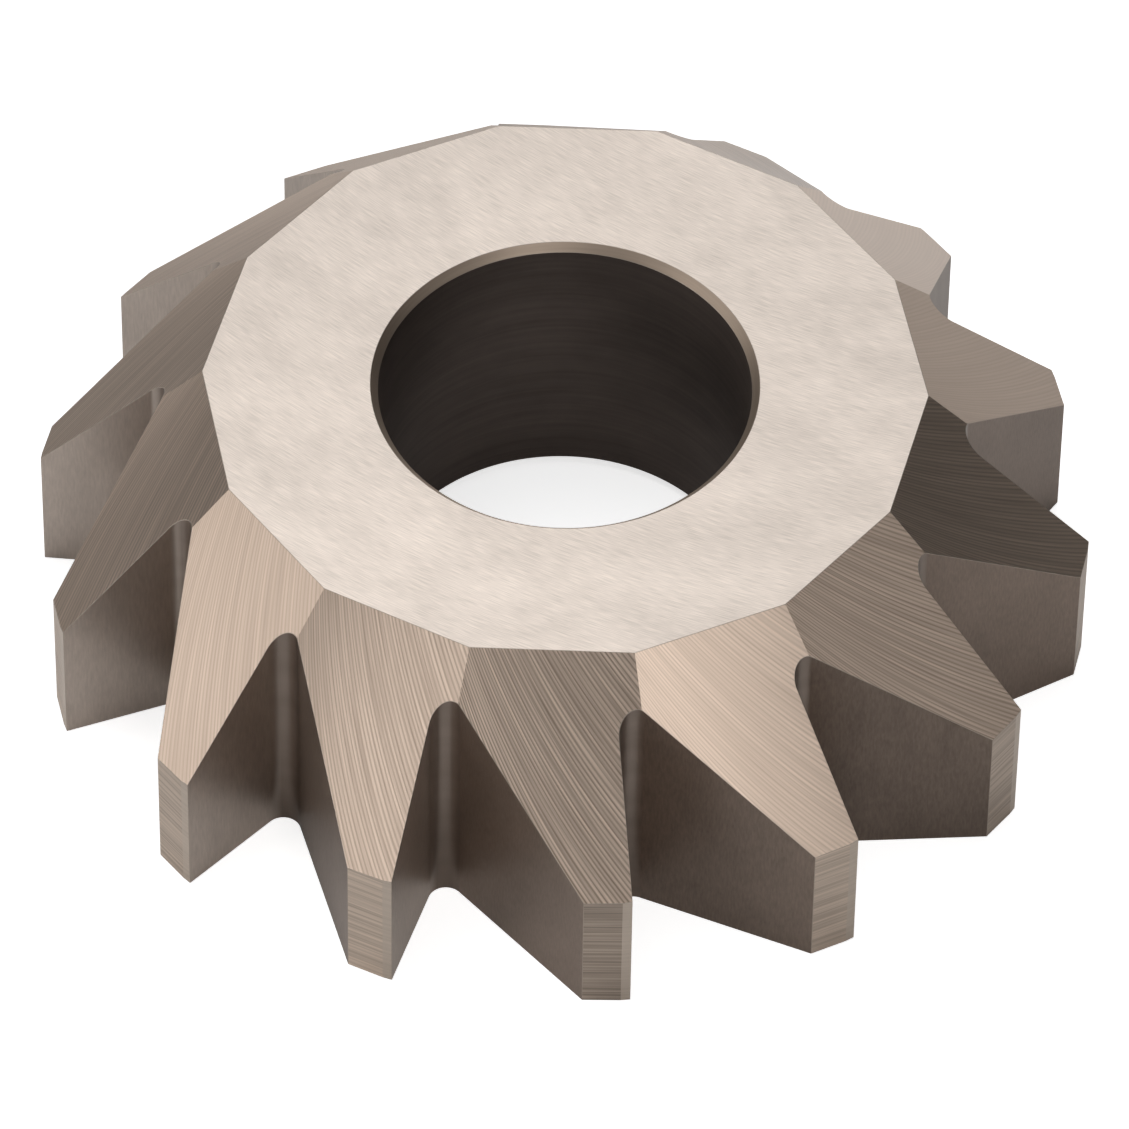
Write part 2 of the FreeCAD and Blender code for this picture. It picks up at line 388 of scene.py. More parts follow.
@dataclass(frozen=True)
class ArcGround(SteelFinish):
    """A facet ground by the face of a wheel: one family of arcs, each a feed further up the slope.

    Attributes:
        wheel_radius: The radius of the arcs, in millimetres.
        wheel_offset: How far the arcs' centres lie to the side of the facet's middle line.
        marks_turn: The turn that brings the marks map back to the facet's level line and slope.
        feed: The distance up the slope from one coarse mark to the next.
        wander: How many feeds the coarse marks stray from even spacing.
        stray_scale: How closely that straying lies across and along the marks, per millimetre.
        patch_scale: How closely the deep and shallow stretches of the coarse marks lie.
        patch_range: The part of the noise pattern that goes from shallow to deep.
        patch_strength: How strong the coarse marks are in the shallow and the deep stretches.
        coarse_middle: What the coarse marks are counted from.
        fine_scale: How closely the fine marks lie.
        fine_share: How strong the fine marks are against the coarse ones.
        mark_depth: How deep the marks are, in metres.
        full_height: The height of a mark that has the lightest colour.
        contrast: How much the marks lighten and darken the colour.
        warmth: How much less green and blue the dark marks have.
    """

    wheel_radius: float = 36.6
    wheel_offset: float = 31.0
    marks_turn: float = math.radians(33)
    feed: float = 0.27
    wander: float = 1.0
    stray_scale: tuple[float, float] = (0.8, 0.03)
    patch_scale: tuple[float, float] = (2.6, 0.12)
    patch_range: tuple[float, float] = (0.32, 0.68)
    patch_strength: tuple[float, float] = (0.50, 1.15)
    coarse_middle: float = 0.52
    fine_scale: tuple[float, float] = (11.0, 0.18)
    fine_share: float = 1.35
    mark_depth: float = 1.5e-6
    full_height: float = 0.8
    contrast: float = 0.46
    warmth: float = 0.10

    def make(self) -> bpy.types.Material:
        """Makes the finish.

        Returns:
            Its material.
        """
        paint = self.start()
        level, up_slope = paint.place(self.marks_turn)
        _, along = paint.place()
        tooth = paint.tooth_shift()
        out = paint.math("SUBTRACT", level, self.wheel_offset)
        spare = paint.math("SUBTRACT", self.wheel_radius**2, paint.math("POWER", out, 2.0))
        rise = paint.math("SQRT", spare)
        arc = paint.math("ADD", up_slope, rise)
        slant = paint.math("ARCTAN2", out, rise)
        paint.turn_gloss(paint.math("SUBTRACT", slant, self.marks_turn - math.pi / 2))
        stray = paint.streaks(arc, along, self.stray_scale, tooth, detail=1.0)
        feeds = paint.math("DIVIDE", arc, self.feed)
        turns = paint.math("MULTIPLY_ADD", stray, self.wander, feeds)
        ridge = paint.math("ABSOLUTE", paint.math("SINE", paint.math("MULTIPLY", turns, math.pi)))
        patches = paint.streaks(arc, along, self.patch_scale, tooth, detail=1.0)
        strength = paint.spread(patches, *self.patch_range, *self.patch_strength)
        coarse = paint.math("MULTIPLY_ADD", ridge, strength, -self.coarse_middle)
        scratches = paint.streaks(arc, along, self.fine_scale, tooth, detail=2.0)
        fine = paint.math("SUBTRACT", scratches, NOISE_MIDDLE)
        marks = paint.math("MULTIPLY_ADD", fine, self.fine_share, coarse)
        height = paint.math("MULTIPLY", marks, paint.face_number(MARKS_SHARE))
        paint.raise_surface(height, self.mark_depth)
        marks_shade = paint.spread(height, -self.full_height, self.full_height, 0.0, 1.0)
        # The blend below spans twice the contrast, so a face's painted light and shade counts for
        # this much of it.
        painted_tone_weight = 1 / (2 * self.contrast)
        painted_tone = paint.face_number(PAINTED_LIGHT_TONE)
        shade = paint.math("MULTIPLY_ADD", painted_tone, painted_tone_weight, marks_shade)
        red, green, blue = self.shaded(1 - self.contrast)
        dark = (red, green * (1 - self.warmth / 2), blue * (1 - self.warmth))
        colour = paint.blend(shade, dark, self.shaded(1 + self.contrast))
        paint.put(paint.shader.inputs["Base Color"], colour)
        return paint.material


@dataclass(frozen=True)
class LineGround(SteelFinish):
    """A surface with fine, nearly straight tool marks that all run one way.

    Attributes:
        marks: How closely the marks' pattern lies across and along them, per millimetre.
        mark_depth: How deep the marks are, in metres.
        contrast: How much the marks lighten and darken the colour.
        crispness: How sharply light marks and dark ones are set off.
        cloud: How much broad soft patches lighten and darken the colour.
        cloud_size: How closely those patches lie across and along the marks, per millimetre.
        bow_radius: The radius of the marks where they are arcs, in millimetres, or 0.
        shade_reach: The most that marks, patches and painted light and shade lighten or darken the
            colour.
    """

    marks: tuple[float, float] = (9.0, 0.5)
    mark_depth: float = 0.6e-6
    contrast: float = 0.08
    crispness: float = 4.0
    cloud: float = 0.04
    cloud_size: tuple[float, float] = (0.5, 0.25)
    bow_radius: float = 0.0
    shade_reach: float = 0.5

    def make(self) -> bpy.types.Material:
        """Makes the finish.

        Returns:
            Its material.
        """
        paint = self.start()
        across, along = paint.place()
        if self.bow_radius:
            spare = paint.math("SUBTRACT", self.bow_radius**2, paint.math("POWER", along, 2.0))
            rise = paint.math("SQRT", spare)
            across = paint.math("ADD", across, rise)
            paint.turn_gloss(paint.math("ARCTAN2", paint.math("MULTIPLY", along, -1.0), rise))
        tooth = paint.tooth_shift()
        marks = paint.streaks(across, along, self.marks, tooth, detail=2.0)
        paint.raise_surface(marks, self.mark_depth)
        reach = 1 / self.crispness
        light, dark = NOISE_MIDDLE + reach, NOISE_MIDDLE - reach
        shade = paint.spread(marks, dark, light, -self.contrast, self.contrast)
        patches = paint.streaks(across, along, self.cloud_size, tooth, detail=3.0)
        drift = paint.spread(patches, *NOISE_RANGE, -self.cloud, self.cloud)
        # Random patches, plus the face's painted light and shade.
        own = paint.math("ADD", drift, paint.face_number(PAINTED_LIGHT_TONE))
        whole = paint.math("ADD", shade, own)
        total = paint.spread(whole, -self.shade_reach, self.shade_reach, 0.0, 1.0)
        darkest, lightest = self.shaded(1 - self.shade_reach), self.shaded(1 + self.shade_reach)
        paint.put(paint.shader.inputs["Base Color"], paint.blend(total, darkest, lightest))
        return paint.material


@dataclass(frozen=True)
class RootGround(LineGround):
    """The rounded root of a gullet, whose colour turns from the rake face's into the back's painted
    shade.

    Attributes:
        painted_shade_back_colour: Its colour where it runs into the tooth's back, darkened as
            painted shade.
        turned_by: How much of the way round the root the change of colour takes.
        turned_share: How much of the back's colour it ends with, before the marks add theirs.
    """

    painted_shade_back_colour: tuple[float, float, float] = (0.20, 0.158, 0.13)
    turned_by: float = 0.35
    turned_share: float = 0.9

    def make(self) -> bpy.types.Material:
        """Makes the finish.

        Returns:
            Its material.
        """
        paint = self.start()
        across, along = paint.place()
        tooth = paint.face_number(TOOTH_NUMBER)
        marks = paint.streaks(across, along, self.marks, tooth, detail=2.0)
        paint.raise_surface(marks, self.mark_depth)
        way_round = paint.face_number(ROOT_TURN)
        turned = paint.spread(way_round, 0.0, self.turned_by, 0.0, self.turned_share)
        drift = paint.spread(marks, *NOISE_RANGE, -self.contrast, self.contrast)
        # Round the root, the colour turns into the back's painted shade.
        colour = paint.blend(paint.math("ADD", turned, drift), self.colour, self.painted_shade_back_colour)
        paint.put(paint.shader.inputs["Base Color"], colour)
        return paint.material


END_FACE = LineGround(
    name="ground_end_face", colour=(0.70, 0.62, 0.555), roughness=0.42, gloss_stretch=0.5,
    marks=(24.0, 1.0), mark_depth=1.0e-6, contrast=0.14, crispness=5.0, cloud=0.08,
    cloud_size=(0.35, 0.22), bow_radius=63.0,
)
FINISHES: dict[Surface, SteelFinish] = {
    Surface.TOP: END_FACE,
    Surface.UNDERSIDE: replace(END_FACE, name="ground_underside", colour=(0.60, 0.54, 0.48)),
    Surface.FACET: ArcGround(
        name="arc_ground_facet", colour=(0.555, 0.445, 0.365), roughness=0.35, gloss_stretch=0.8,
    ),
    Surface.LAND: LineGround(
        name="cross_ground_land", colour=(0.478, 0.393, 0.325), roughness=0.40, gloss_stretch=0.5,
        marks=(8.0, 0.08), mark_depth=1.8e-6, contrast=0.20, crispness=8.0,
    ),
    Surface.MARGIN: LineGround(
        name="round_ground_margin", colour=(0.53, 0.45, 0.38), roughness=0.36, gloss_stretch=0.4,
        marks=(8.0, 0.15), contrast=0.09,
    ),
    Surface.RAKE: LineGround(
        name="ground_rake_face", colour=(0.525, 0.45, 0.395), roughness=0.38, gloss_stretch=0.2,
        marks=(12.0, 1.6), contrast=0.10, cloud=0.06,
    ),
    # Painted shade: the tooth backs are coloured far darker than the other steel, for the shade in
    # the gullets.
    Surface.BACK: LineGround(
        name="milled_tooth_back_with_painted_shade", colour=(0.232, 0.18, 0.147), roughness=0.40, gloss_stretch=0.2,
        marks=(12.0, 2.4), contrast=0.13, cloud=0.08,
    ),
    Surface.ROOT: RootGround(
        name="milled_root_with_painted_shade", colour=(0.525, 0.45, 0.395), roughness=0.32, gloss_stretch=0.2,
        marks=(9.0, 0.8), contrast=0.07,
    ),
    # Painted shade: the bore wall is coloured far darker than the other steel, for the shade inside
    # the bore.
    Surface.BORE: LineGround(
        name="honed_bore_with_painted_shade", colour=(0.158, 0.127, 0.111), roughness=0.50, gloss_stretch=0.2,
        marks=(5.0, 0.1), contrast=0.12, cloud=0.1,
    ),
    Surface.CHAMFER: LineGround(
        name="turned_chamfer", colour=(0.40, 0.32, 0.255), roughness=0.55, gloss_stretch=0.2,
        marks=(8.0, 0.2),
    ),
    Surface.EDGE: LineGround(
        name="broken_edge", colour=(0.44, 0.375, 0.32), roughness=0.55, marks=(10.0, 0.8),
        contrast=0.05,
    ),
}


@dataclass(frozen=True)
class MarksFrame:
    """How the tool marks lie on one surface.

    Attributes:
        origin: A point that the map counts from.
        across: The direction across the marks, level with the surface.
        along: The direction along the marks, level with the surface.
    """

    origin: Vector
    across: Vector
    along: Vector

    def at(self, place: Vector) -> tuple[float, float]:
        """The map's two coordinates at a place, in millimetres."""
        offset = place - self.origin
        return offset.dot(self.across), offset.dot(self.along)

    def turned(self, angle: float) -> "MarksFrame":
        """The same frame on another tooth, turned about the bore."""
        turn = Matrix.Rotation(angle, 3, "Z")
        return MarksFrame(turn @ self.origin, turn @ self.across, turn @ self.along)


@dataclass
class ReamerCutter:
    """The whole cutter, in millimetres and radians.

    The first tooth's rake face lies in the XZ plane with its cutting corner towards +X, and the
    teeth follow anticlockwise. A gullet lies ahead of each rake face.

    Attributes:
        cutting_radius: The distance of the cutting corners from the bore's axis.
        height: The overall height.
        bore_radius: The bore's radius.
        land_height: The height of the cutting corners.
        seat_angle: The slope of the cutting edges.
        tooth_count: The number of teeth.
        facet_set_back: How far behind its cutting corner a facet faces straight out.
        gullet_angle: The angle between a rake face and the tooth back across the gullet.
        root_radius: The radius of a gullet's root.
        land_width: The width of a land, margin included.
        margin_width: The width of the unrelieved strip behind the rake face.
        relief: The angle at which the rest of the land is set back.
        top_chamfer: The bore's chamfer on the top face.
        base_chamfer: The bore's chamfer on the underside.
        overrun: How far the gashing cut runs past the blank.
        edge_break: The width of the fine break on every edge.
        edge_segments: The number of strips in it.
        least_broken: The least bend of an edge that is broken.
        least_sharp: The least bend of an edge that keeps its crease.
        least_fold: The least bend of an edge that isn't a seam in a flat face.
        flat_weight: How much the large faces rule the shading at their edges.
        turns_per_tooth: The bore's flats to one tooth.
        root_steps: The strips in a root.
        facet_marks: The direction of the marks on a facet, from its level line.
        end_face_marks: The direction of the marks on the end faces, from +X.
        marks_shares: How deep the wheel's marks are on each facet.
        facet_painted_light: Painted light and shade: how much lighter or darker each facet is
            painted.
        land_painted_light: The same for each land, by the number of the tooth before it.
        back_painted_light: The same for each tooth's back, numbered likewise.
        near: Vertices nearer than this to a corner belong to it.
        merge_near: Vertices nearer than this to each other become one.
        plane_near: Vertices nearer than this to a facet's plane lie in it.
        level_rise: The least rise of an end face's normal.
        upright_rise: The most rise of an upright face's normal.
        lean_slack: How far a flat upright face may lean from its nominal angle, in degrees.
        land_slack: The same for a land.
        turn_slack: What is added to a face's turn, so that a rake face counts as its own tooth's.
        piece: The mesh, once it is begun.
    """

    cutting_radius: float
    height: float
    bore_radius: float
    land_height: float = 5.95
    seat_angle: float = math.radians(45)
    tooth_count: int = TEETH
    facet_set_back: float = math.radians(9.4)
    gullet_angle: float = math.radians(60)
    root_radius: float = 0.7
    land_width: float = 1.88
    margin_width: float = 0.35
    relief: float = math.radians(7.5)
    top_chamfer: float = 0.3
    base_chamfer: float = 0.4
    overrun: float = 3.0
    edge_break: float = 0.014
    edge_segments: int = 2
    least_broken: float = math.radians(22)
    least_sharp: float = math.radians(6)
    least_fold: float = math.radians(0.4)
    flat_weight: int = 100
    turns_per_tooth: int = 12
    root_steps: int = 24
    facet_marks: float = math.radians(123)
    end_face_marks: float = math.radians(155)
    marks_shares: tuple[float, ...] = (
        0.70, 0.17, 0.14, 0.60, 0.85, 0.50, 0.60, 0.60, 0.70, 0.40, 0.80, 1.30, 0.52, 0.85
    )
    # Painted light and shade, tooth by tooth, for the facets, lands and backs.
    facet_painted_light: tuple[float, ...] = (
        0.06, -0.13, 0.18, 0.00, -0.05, 0.04, 0.00, -0.05, 0.14, -0.08, 0.00, 0.02, 0.06, -0.03
    )
    land_painted_light: tuple[float, ...] = (
        0.05, -0.06, 0.00, 0.08, -0.10, 0.04, -0.05, 0.06, 0.02, 0.17, -0.23, 0.15, -0.03, 0.02
    )
    back_painted_light: tuple[float, ...] = (
        0.00, 0.04, -0.03, 0.05, 0.00, -0.04, 0.03, 0.00, -0.05, 0.02, 0.15, -0.02, -0.14, 0.06
    )
    near: float = 1e-3
    merge_near: float = 1e-4
    plane_near: float = 1e-5
    level_rise: float = 0.999
    upright_rise: float = 0.05
    lean_slack: float = 1.0
    land_slack: float = 2.0
    turn_slack: float = math.radians(0.2)
    piece: bpy.types.Object = field(default=None, repr=False)

    @property
    def pitch(self) -> float:
        """The turn from one tooth to the next."""
        return math.tau / self.tooth_count

    @property
    def facet_slope(self) -> float:
        """How steeply a facet falls away from the top face."""
        rise = self.height - self.land_height
        run = rise * math.tan(self.seat_angle) * math.cos(self.facet_set_back)
        return math.atan2(rise, run)

    @property
    def margin_out(self) -> float:
        """How far out along the rake line the end of a margin lies."""
        return math.sqrt(self.cutting_radius**2 - self.margin_width**2)

    def outward(self, angle: float) -> Vector:
        """The level direction at this turn about the bore."""
        return Vector((math.cos(angle), math.sin(angle), 0))

    def behind_next_edge(self, out: float, behind: float) -> Vector:
        """The place this far out along the next tooth's rake line and this far behind it."""
        return self.outward(self.pitch) * out + self.outward(self.pitch - math.pi / 2) * behind

    def turn_blank(self) -> None:
        """Turns the disc with its chamfered bore: half its section, spun about the bore."""
        deselect_all()
        middle = (self.cutting_radius + self.bore_radius) / 2
        bpy.ops.mesh.primitive_plane_add(
            size=1, location=(middle, 0, self.height / 2), rotation=(math.pi / 2, 0, 0)
        )
        self.piece = bpy.context.object
        self.piece.name = "cutter_body"
        self.piece.data.name = "cutter_body"
        self.piece.scale = (self.cutting_radius - self.bore_radius, self.height, 1)
        bpy.ops.object.transform_apply(location=True, rotation=True, scale=True)
        bpy.ops.object.mode_set(mode="EDIT")
        for level, chamfer in ((self.height, self.top_chamfer), (0.0, self.base_chamfer)):
            pick_corner(self.piece, Vector((self.bore_radius, 0, level)), self.near)
            bpy.ops.mesh.bevel(offset=chamfer, offset_type="OFFSET", segments=1, affect="VERTICES")
        bpy.ops.mesh.select_all(action="SELECT")
        bpy.ops.mesh.delete(type="ONLY_FACE")
        bpy.ops.mesh.select_all(action="SELECT")
        bpy.ops.mesh.spin(
            steps=self.turns_per_tooth * self.tooth_count, angle=math.tau,
            center=(0, 0, 0), axis=(0, 0, 1),
        )
        bpy.ops.mesh.select_all(action="SELECT")
        bpy.ops.mesh.remove_doubles(threshold=self.near)
        bpy.ops.mesh.normals_make_consistent(inside=False)
        bpy.ops.object.mode_set(mode="OBJECT")

    def grind_facets(self) -> None:
        """Takes off one flat facet behind each cutting edge."""
        take_up(self.piece)
        bpy.ops.object.mode_set(mode="EDIT")
        slope = self.facet_slope
        for tooth in range(self.tooth_count):
            turn = tooth * self.pitch
            facing = self.outward(turn - self.facet_set_back)
            normal = facing * math.sin(slope) + UP * math.cos(slope)
            corner = self.outward(turn) * self.cutting_radius + UP * self.land_height
            bpy.ops.mesh.select_all(action="SELECT")
            bpy.ops.mesh.bisect(
                plane_co=corner, plane_no=normal, use_fill=True, clear_outer=True,
                threshold=self.plane_near,
            )
        bpy.ops.object.mode_set(mode="OBJECT")

    def draw_tooth_space(self) -> bpy.types.Object:
        """Draws what the gashing wheel takes out between two teeth, and repeats it round the bore.

        Returns:
            The closed shapes that are cut away, joined in one object.
        """
        relieved_width = self.land_width - self.margin_width
        back_out = self.margin_out - relieved_width * math.tan(self.relief)
        back_corner = self.behind_next_edge(back_out, self.land_width)
        apex_out = back_corner.x - back_corner.y / math.tan(self.gullet_angle)
        root_run = self.root_radius / math.tan(self.gullet_angle / 2)
        floor = UP * -self.overrun
        root_front = Vector((apex_out + root_run, 0, 0)) + floor
        root_back = self.outward(self.gullet_angle) * root_run + Vector((apex_out, 0, 0)) + floor
        past_rim = self.cutting_radius + self.overrun
        half_margin = self.margin_width / 2
        over_margin = self.margin_out + half_margin * math.tan(self.relief)
        outline = (
            back_corner + floor,
            self.behind_next_edge(over_margin, half_margin) + floor,
            self.behind_next_edge(past_rim, half_margin) + floor,
            Vector((past_rim, 0, 0)) + floor,
        )

        deselect_all()
        bpy.ops.mesh.primitive_plane_add(size=self.root_radius, location=root_front)
        space = bpy.context.object
        space.name = "tooth_space"
        bpy.ops.object.transform_apply(location=True, rotation=True, scale=True)
        bpy.ops.object.mode_set(mode="EDIT")
        bpy.ops.mesh.select_all(action="SELECT")
        bpy.ops.mesh.merge(type="CENTER")
        bpy.ops.mesh.spin(
            steps=self.root_steps,
            angle=math.pi - self.gullet_angle,
            center=root_front + Vector((0, self.root_radius, 0)),
            axis=(0, 0, 1),
        )
        last = root_back
        for corner in outline:
            pick_corner(space, last, self.near)
            bpy.ops.mesh.extrude_region_move(TRANSFORM_OT_translate={"value": corner - last})
            last = corner
        bpy.ops.mesh.select_all(action="SELECT")
        bpy.ops.mesh.remove_doubles(threshold=self.merge_near)
        bpy.ops.mesh.edge_face_add()
        deep = UP * (self.height + 2 * self.overrun)
        bpy.ops.mesh.extrude_region_move(TRANSFORM_OT_translate={"value": deep})
        bpy.ops.mesh.select_all(action="SELECT")
        bpy.ops.mesh.normals_make_consistent(inside=False)
        others = self.tooth_count - 1
        bpy.ops.mesh.spin(
            steps=others, dupli=True, angle=others * self.pitch,
            center=(0, 0, 0), axis=(0, 0, 1),
        )
        bpy.ops.object.mode_set(mode="OBJECT")
        return space

    def gash_teeth(self) -> None:
        """Cuts the gullets and the relief of the lands, and clears the seams left in flat faces."""
        space = self.draw_tooth_space()
        cut = self.piece.modifiers.new("tooth_spaces", "BOOLEAN")
        cut.operation = "DIFFERENCE"
        cut.solver = "EXACT"
        cut.object = space
        apply_modifier(self.piece, cut.name)
        bpy.data.objects.remove(space)
        take_up(self.piece)
        bpy.ops.object.mode_set(mode="EDIT")
        bpy.ops.mesh.select_all(action="SELECT")
        bpy.ops.mesh.remove_doubles(threshold=self.merge_near)
        bpy.ops.mesh.dissolve_limited(angle_limit=self.least_fold)
        bpy.ops.object.mode_set(mode="OBJECT")

    def kind_of(self, place: Vector, normal: Vector) -> Surface:
        """Tells which surface a face belongs to.

        Args:
            place: The middle of the face.
            normal: Its outward normal.

        Returns:
            The kind of surface.
        """
        out = place.xy.length
        upright = abs(normal.z) < self.upright_rise
        if normal.z > self.level_rise:
            return Surface.TOP
        if normal.z < -self.level_rise:
            return Surface.UNDERSIDE
        if out < self.bore_radius + self.base_chamfer:
            return Surface.BORE if upright else Surface.CHAMFER
        if not upright:
            return Surface.FACET
        lean = self.lean_of(place, normal)
        if abs(lean - 90) < self.lean_slack:
            return Surface.RAKE
        if abs(lean - math.degrees(self.gullet_angle) + 90) < self.lean_slack:
            return Surface.BACK
        if out < self.cutting_radius - 2 * self.root_radius:
            return Surface.ROOT
        relieved = math.degrees(self.pitch - self.relief)
        return Surface.LAND if abs(lean - relieved) < self.land_slack else Surface.MARGIN

    def gullet_of(self, place: Vector) -> int:
        """The number of the tooth whose rake face bounds the gullet or tooth at a place."""
        turn = math.atan2(place.y, place.x) + self.turn_slack
        return math.floor(turn / self.pitch) % self.tooth_count

    def lean_of(self, place: Vector, normal: Vector) -> float:
        """The turn from the gullet's own rake line to an upright face's normal, in degrees."""
        lean = math.degrees(math.atan2(normal.y, normal.x) - self.gullet_of(place) * self.pitch)
        return (lean + 180) % 360 - 180

    def sort_surfaces(self) -> None:
        """Gives each face the finish of its surface, before the edges are broken."""
        kinds = list(FINISHES)
        for kind in kinds:
            self.piece.data.materials.append(FINISHES[kind].make())
        for face in self.piece.data.polygons:
            face.material_index = kinds.index(self.kind_of(face.center, face.normal))

    def break_edges(self) -> None:
        """Breaks every edge but the folds between facets by a hair, and keeps flat faces flat."""
        broken = self.piece.modifiers.new("broken_edges", "BEVEL")
        broken.width = self.edge_break
        broken.segments = self.edge_segments
        broken.limit_method = "ANGLE"
        broken.angle_limit = self.least_broken
        broken.use_clamp_overlap = False
        broken.material = list(FINISHES).index(Surface.EDGE)
        apply_modifier(self.piece, broken.name)
        bpy.ops.object.shade_smooth_by_angle(angle=self.least_sharp)
        weighted = self.piece.modifiers.new("flat_faces", "WEIGHTED_NORMAL")
        weighted.mode = "FACE_AREA"
        weighted.weight = self.flat_weight
        weighted.keep_sharp = True
        apply_modifier(self.piece, weighted.name)

    def marks_on(self, kind: Surface, tooth: int, place: Vector) -> MarksFrame:
        """Says how the tool marks lie on a face.

        Args:
            kind: The face's kind of surface.
            tooth: The number of its tooth or gullet.
            place: The middle of the face.

        Returns:
            The frame that the marks follow there.
        """
        turn = tooth * self.pitch
        middle = Vector((0, 0, 0))
        if kind in (Surface.TOP, Surface.UNDERSIDE):
            along = self.outward(self.end_face_marks)
            return MarksFrame(middle, UP.cross(along) * -1, along)
        if kind is Surface.FACET:
            return self.facet_marks_frame().turned(turn)
        if kind in (Surface.LAND, Surface.MARGIN):
            return MarksFrame(middle, UP, Vector((0, -1, 0))).turned(turn + self.pitch)
        if kind is Surface.RAKE:
            return MarksFrame(middle, Vector((1, 0, 0)), UP).turned(turn)
        if kind is Surface.BACK:
            return MarksFrame(middle, self.outward(self.gullet_angle), UP).turned(turn)
        round_bore = UP.cross(Vector((place.x, place.y, 0)).normalized())
        if kind is Surface.ROOT:
            return MarksFrame(middle, round_bore, UP)
        return MarksFrame(middle, UP, round_bore)

    def facet_marks_frame(self) -> MarksFrame:
        """Says how the marks lie on the first tooth's facet.

        Returns:
            The frame of its marks, counted from the foot of its middle line.
        """
        slope = self.facet_slope
        out = self.outward(-self.facet_set_back)
        level = UP.cross(out)
        up_slope = UP * math.sin(slope) - out * math.cos(slope)
        foot = out * self.cutting_radius * math.cos(self.facet_set_back) + UP * self.land_height
        across = level * math.sin(self.facet_marks) - up_slope * math.cos(self.facet_marks)
        along = level * math.cos(self.facet_marks) + up_slope * math.sin(self.facet_marks)
        return MarksFrame(foot, across, along)

    def tooth_of(self, kind: Surface, place: Vector) -> int:
        """Tells which tooth a face's pattern belongs to.

        Args:
            kind: The face's kind of surface.
            place: The middle of the face.

        Returns:
            The tooth's number, or 0 for a surface that belongs to all.
        """
        if kind is Surface.FACET:
            turn = math.atan2(place.y, place.x) + self.facet_set_back + self.pitch / 2
            return math.floor(turn / self.pitch) % self.tooth_count
        if kind in (Surface.TOP, Surface.UNDERSIDE, Surface.BORE, Surface.CHAMFER):
            return 0
        return self.gullet_of(place)

    def lay_marks(self) -> None:
        """Writes the marks map, and each face's tooth, marks' depth, painted light and shade, and
        way round a root.
        """
        mesh = self.piece.data
        kinds = list(FINISHES)
        for layer in list(mesh.uv_layers):
            mesh.uv_layers.remove(layer)
        marks = mesh.uv_layers.new(name=MARKS_MAP)
        numbers, shares, painted_light_values, root_turns = (
            mesh.attributes.new(name, "FLOAT", "FACE")
            for name in (TOOTH_NUMBER, MARKS_SHARE, PAINTED_LIGHT_TONE, ROOT_TURN)
        )
        painted_light_of = {
            Surface.FACET: self.facet_painted_light,
            Surface.LAND: self.land_painted_light,
            Surface.BACK: self.back_painted_light,
        }
        for face in mesh.polygons:
            kind = kinds[face.material_index]
            tooth = self.tooth_of(kind, face.center)
            numbers.data[face.index].value = tooth
            shares.data[face.index].value = self.marks_shares[tooth]
            # Painted light and shade: each facet, land and back is lightened or darkened by its
            # listed share.
            if kind in painted_light_of:
                painted_light_values.data[face.index].value = painted_light_of[kind][tooth]
            if kind is Surface.ROOT:
                turned = math.radians(90 - self.lean_of(face.center, face.normal))
                root_turns.data[face.index].value = turned / (math.pi - self.gullet_angle)
            lay = self.marks_on(kind, tooth, face.center)
            round_wall = kind in (Surface.BORE, Surface.CHAMFER)
            for loop in face.loop_indices:
                place = mesh.vertices[mesh.loops[loop].vertex_index].co
                across, along = lay.at(place)
                if round_wall:
                    along = math.atan2(place.y, place.x) * self.bore_radius
                marks.data[loop].uv = (across, along)

    def build(self) -> bpy.types.Object:
        """Makes the cutter and dresses it.

        Returns:
            The finished piece, in metres.
        """
        self.turn_blank()
        self.grind_facets()
        self.gash_teeth()
        self.sort_surfaces()
        self.break_edges()
        self.lay_marks()
        take_up(self.piece)
        self.piece.scale = (MM, MM, MM)
        bpy.ops.object.transform_apply(location=True, rotation=True, scale=True)
        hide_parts("reamer_cutter")
        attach(self.piece, "root")
        log.info("%s: %d faces", self.piece.name, len(self.piece.data.polygons))
        return self.piece


@dataclass(frozen=True)
class PhotoCamera:
    """The camera at the photograph's viewing angle, in metres and radians.

    Attributes:
        azimuth: Its turn about the bore, from the front.
        elevation: Its height above the floor, as an angle.
        roll: Its turn about its own line of sight.
        distance: How far it stands from what it aims at.
        lens: Its focal length, in millimetres.
        sensor: The width of its sensor, in millimetres.
        aim: The point it looks at.
        clip_shares: The nearest and farthest it sees, as shares of the distance.
    """

    azimuth: float = math.radians(4.835)
    elevation: float = math.radians(48.374)
    roll: float = math.radians(0.932)
    distance: float = 0.41622
    lens: float = 330.47
    sensor: float = 36.0
    aim: tuple[float, float, float] = (0.00009, 0.00001, 0.00206)
    clip_shares: tuple[float, float] = (0.1, 20.0)

    def build(self) -> bpy.types.Object:
        """Adds the camera and makes it the scene's own.

        Returns:
            The camera.
        """
        turn = Matrix.Rotation(self.azimuth, 3, "Z")
        back = turn @ Vector((0, -math.cos(self.elevation), math.sin(self.elevation)))
        right = turn @ Vector((1, 0, 0))
        above = turn @ Vector((0, math.sin(self.elevation), math.cos(self.elevation)))
        x_axis = right * math.cos(self.roll) + above * math.sin(self.roll)
        y_axis = above * math.cos(self.roll) - right * math.sin(self.roll)
        data = bpy.data.cameras.new("photo_camera")
        data.lens = self.lens
        data.sensor_width = self.sensor
        nearest, farthest = self.clip_shares
        data.clip_start = self.distance * nearest
        data.clip_end = self.distance * farthest
        camera = bpy.data.objects.new("photo_camera", data)
        bpy.context.scene.collection.objects.link(camera)
        axes = Matrix((x_axis, y_axis, back)).transposed().to_4x4()
        camera.matrix_world = Matrix.Translation(Vector(self.aim) + back * self.distance) @ axes
        bpy.context.scene.camera = camera
        log.info("%s: %.0f mm lens at %.3f m", camera.name, self.lens, self.distance)
        return camera


